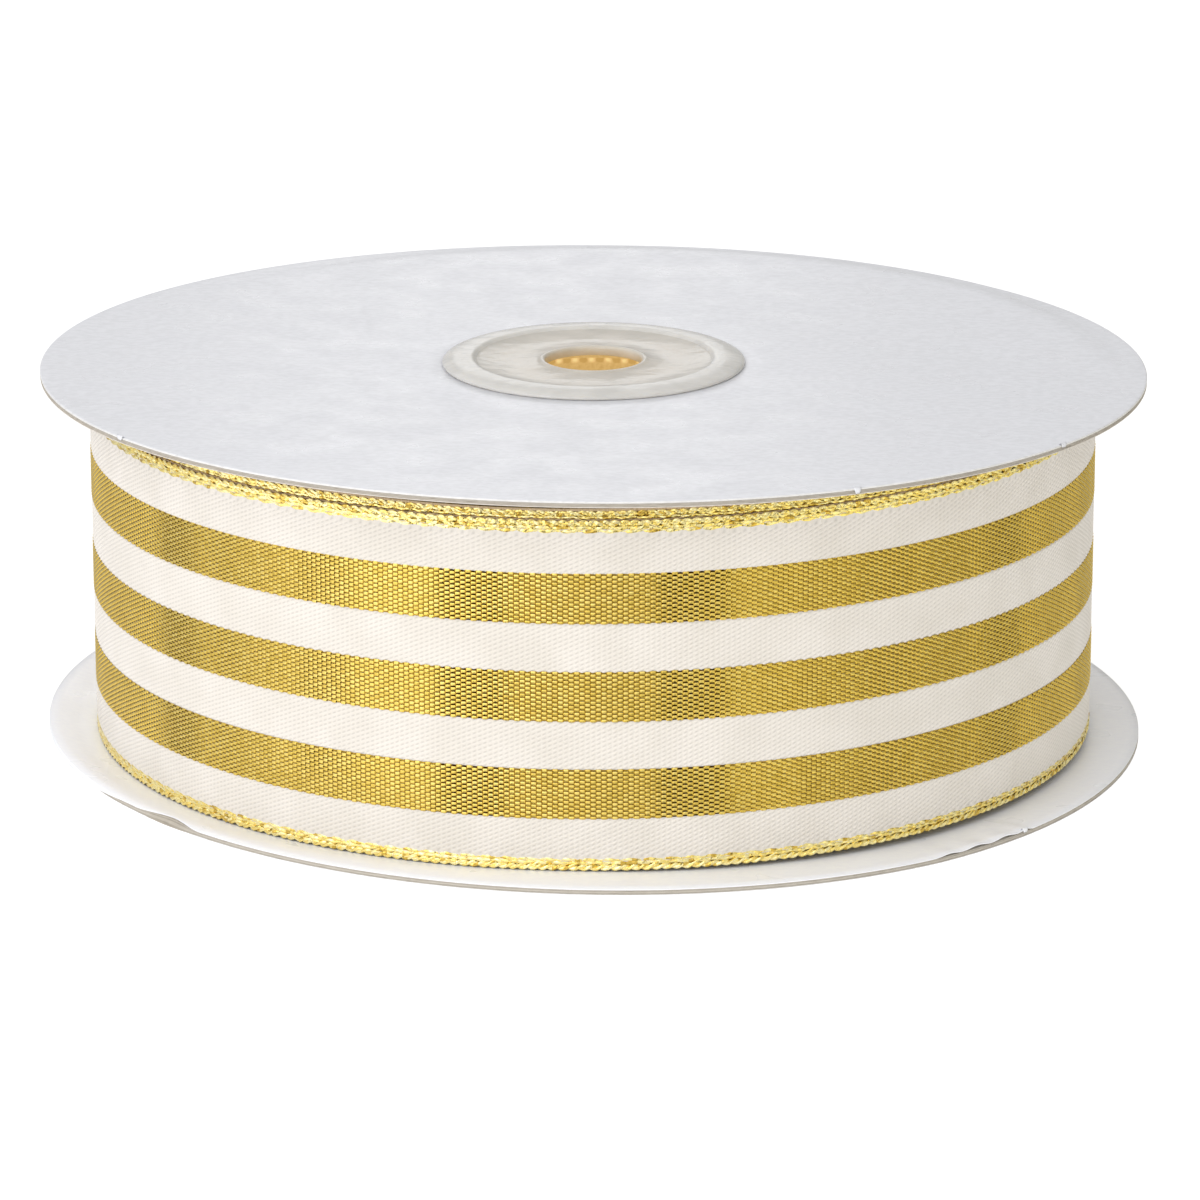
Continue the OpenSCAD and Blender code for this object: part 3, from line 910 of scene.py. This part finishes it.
def make_camera():
    camera = bpy.data.cameras.new("camera")
    camera.lens, camera.sensor_width = CAMERA_LENS, 36
    camera.clip_start, camera.clip_end = 0.05, 10
    obj = bpy.data.objects.new("camera", camera)
    pitch, yaw, roll = (math.radians(CAMERA_TURN[axis]) for axis in ("pitch", "yaw", "roll"))
    turn = Matrix.Rotation(yaw, 4, "Z") @ Matrix.Rotation(math.pi / 2 - pitch, 4, "X")
    obj.matrix_world = Matrix.Translation(CAMERA_PLACE) @ turn @ Matrix.Rotation(roll, 4, "Z")
    bpy.context.scene.collection.objects.link(obj)
    bpy.context.scene.camera = obj


# Brightness of the studio's walls above the horizon, by degrees round the spool: 0 is the camera's side
# and angles grow to its right. It passes into OVERHEAD towards the zenith.
WALLS = [(-180, 0.64), (-120, 0.51), (-75, 0.82), (-30, 1.65), (0, 1.73), (35, 0.79), (70, 0.17),
         (110, 0.02), (150, 0.17), (180, 0.64)]
OVERHEAD = 0.85               # brightness straight above
WARM_SIDE = (1.0, 0.97, 0.74)  # tint of the walls and panels on the right

# What shiny surfaces see below the horizon, where the floor hides the world from everything else. The
# gaps between its panels give the gold film its dark bands.
PANELS = [(-180, 0.5), (-135, 0.62), (-108, 0.9), (-99, 1.15), (-96, 0.9), (-90, 0.9), (-87, 1.4),
          (-50, 1.65), (-36.5, 1.95), (-35, 0.02), (-20.5, 0.02), (-19, 1.25), (0, 0.98), (13.5, 1.15),
          (15, 0.02), (29.5, 0.02), (31, 1.3), (62, 1.35), (65, 0.7), (75, 0.7), (78, 1.15), (101, 1.0),
          (104, 0.5), (111, 0.5), (114, 0.95), (131, 0.8), (134, 0.4), (139, 0.4), (142, 0.65), (180, 0.6)]


def make_world():
    """Soft studio walls, brightest at the front left, behind a background that the camera sees as white."""
    world = bpy.data.worlds.new("studio")
    world.use_nodes = True
    tree = world.node_tree
    tree.nodes.clear()

    def node(kind, inputs, output=0, **settings):
        made = tree.nodes.new(kind)
        for key, value in settings.items():
            setattr(made, key, value)
        for socket, value in inputs.items():
            if isinstance(value, bpy.types.NodeSocket):
                tree.links.new(value, made.inputs[socket])
            else:
                made.inputs[socket].default_value = value
        return made.outputs[output]

    def levels_round(turn, stops):
        ramp = node("ShaderNodeValToRGB", {"Fac": turn})
        elements = ramp.node.color_ramp.elements
        while len(elements) < len(stops):
            elements.new(0.5)
        for element, (degrees, level) in zip(elements, stops):
            warm = float(smoothstep(degrees / 30) * smoothstep((180 - degrees) / 30))
            element.position = degrees / 360 + 0.5
            element.color = (*(level * (1 + warm * (tint - 1)) for tint in WARM_SIDE), 1)
        return ramp

    direction = node("ShaderNodeTexCoord", {}, "Generated")
    parts = node("ShaderNodeSeparateXYZ", {0: direction}, "X").node
    towards_camera = node("ShaderNodeMath", {0: parts.outputs["Y"], 1: -1.0}, operation="MULTIPLY")
    azimuth = node("ShaderNodeMath", {0: parts.outputs["X"], 1: towards_camera}, operation="ARCTAN2")
    turn = node("ShaderNodeMapRange", {"Value": azimuth, "From Min": -math.pi, "From Max": math.pi})
    walls = node("ShaderNodeMix", {0: parts.outputs["Z"], 4: levels_round(turn, WALLS),
                                   5: (OVERHEAD,) * 3}, 1, data_type="VECTOR")
    above = node("ShaderNodeMapRange", {"Value": parts.outputs["Z"], "From Min": 0.0, "From Max": 0.12})
    level = node("ShaderNodeMix", {0: above, 4: levels_round(turn, PANELS), 5: walls}, 1,
                 data_type="VECTOR")
    studio = node("ShaderNodeBackground", {"Color": level, "Strength": 1.0})
    white = node("ShaderNodeBackground", {"Color": (1, 1, 1, 1), "Strength": 1.0})
    seen = node("ShaderNodeLightPath", {}, "Is Camera Ray")
    both = node("ShaderNodeMixShader", {0: seen, 1: studio, 2: white})
    tree.links.new(both, tree.nodes.new("ShaderNodeOutputWorld").inputs["Surface"])
    bpy.context.scene.world = world


LIGHTS_AIM = Vector((0, 0, 0.02))


def make_light(name, place, size, power):
    light = bpy.data.lights.new(name, "AREA")
    light.size, light.energy = size, power
    obj = bpy.data.objects.new(name, light)
    obj.location = place
    aim = LIGHTS_AIM - Vector(place)
    obj.rotation_euler = aim.to_track_quat("-Z", "Y").to_euler()
    bpy.context.scene.collection.objects.link(obj)


def make_floor():
    """A pale table, bright enough to run out to white."""
    shader = Shader("table", Base_Color=(0.5, 0.5, 0.5, 1), Roughness=0.8, Emission_Color=(1, 1, 1, 1),
                    Emission_Strength=0.72, Specular_IOR_Level=0.0)
    reach = 4.0
    points = np.array([[-reach, -reach, 0], [reach, -reach, 0], [reach, reach, 0], [-reach, reach, 0]])
    floor = add_mesh("table", [(points, [np.array([[0, 1, 2, 3]])], [0])], [shader.material], smooth=False)
    floor.visible_glossy = False


make_camera()
make_world()
make_light("key", (-0.26, -0.34, 0.33), size=0.4, power=0.75)
make_light("rim", (-0.015, 0.6, 0.21), size=0.12, power=0.04)
make_floor()
make_disc("upper", upper_warp, PAPER_UP, 21)
make_disc("lower", lower_warp, PAPER_LOW_LIT, 22)
make_hub()
make_wound_turns()
make_outer_turn()
make_free_end()
make_end_tape()
bpy.context.scene.view_settings.view_transform = "Standard"
